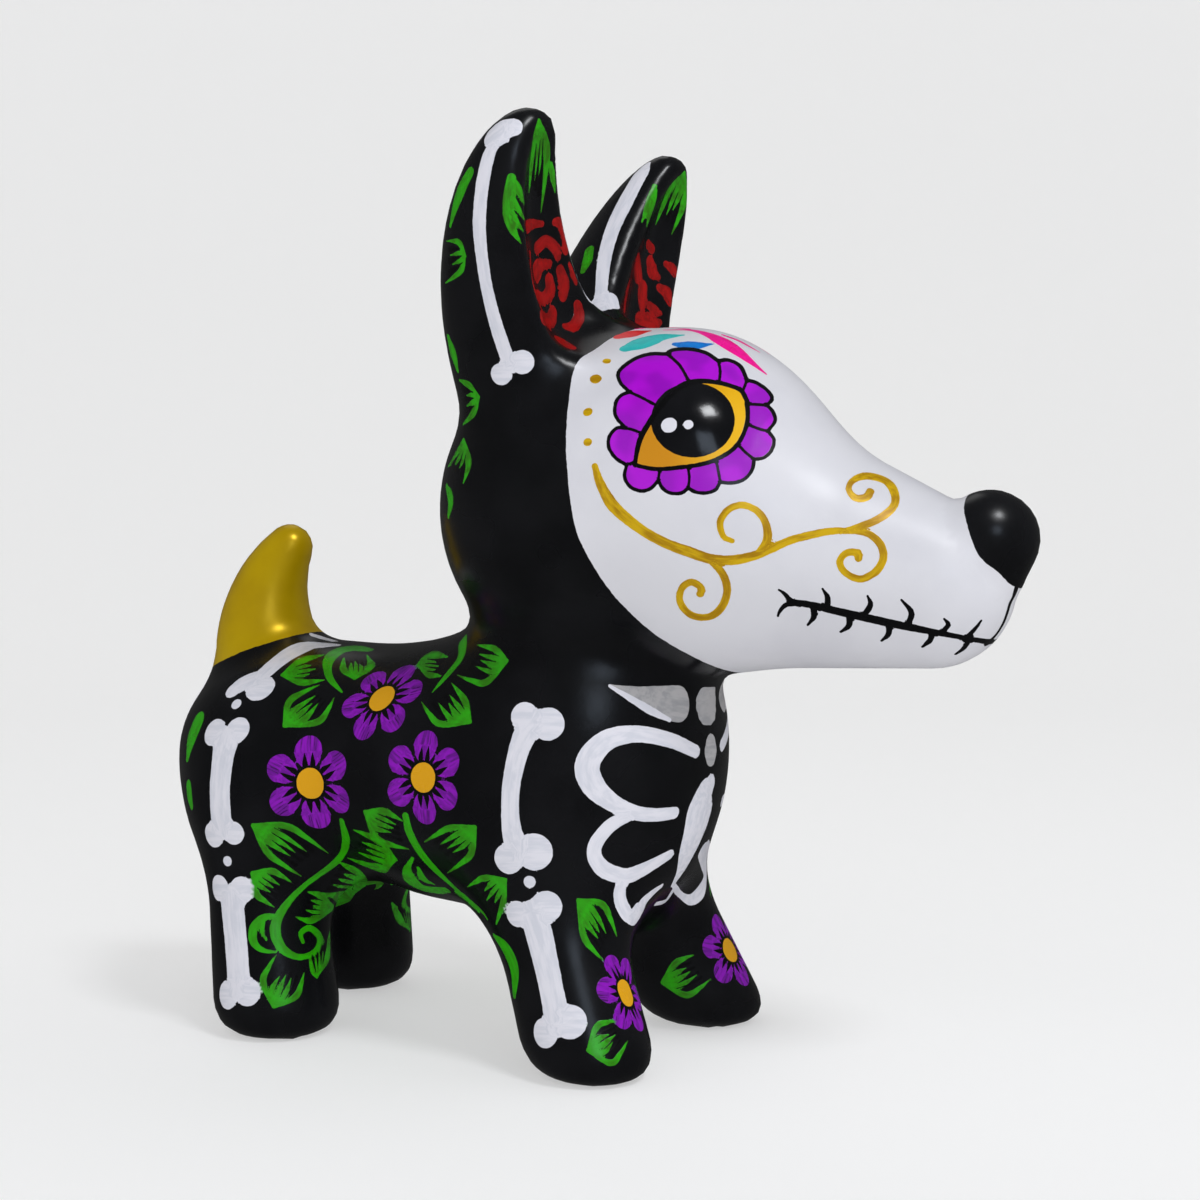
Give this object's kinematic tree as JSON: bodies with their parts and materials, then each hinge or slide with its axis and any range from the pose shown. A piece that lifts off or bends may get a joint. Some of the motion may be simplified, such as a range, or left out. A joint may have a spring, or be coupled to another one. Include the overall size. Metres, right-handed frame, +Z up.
{
  "type": "painted ceramic peruvian hairless dog figurine",
  "caption": "Standing ceramic dog figurine with upright hollowed ears, painted in glossy black with a white skull face, bones, flowers and leaves.",
  "frame": {"origin": "on the floor between the feet, under the middle of the figurine's box", "axes": "+Z up; the dog looks along -Y, so its left side is +X"},
  "size_m": [0.085, 0.198, 0.1932],
  "materials": {
    "painted_ceramic": "glossy charcoal-black enamel with hand-painted white, green, purple, red, gold and teal ornament"
  },
  "bodies": {
    "root": {"dog_figurine": "painted_ceramic"}
  },
  "joints": []
}
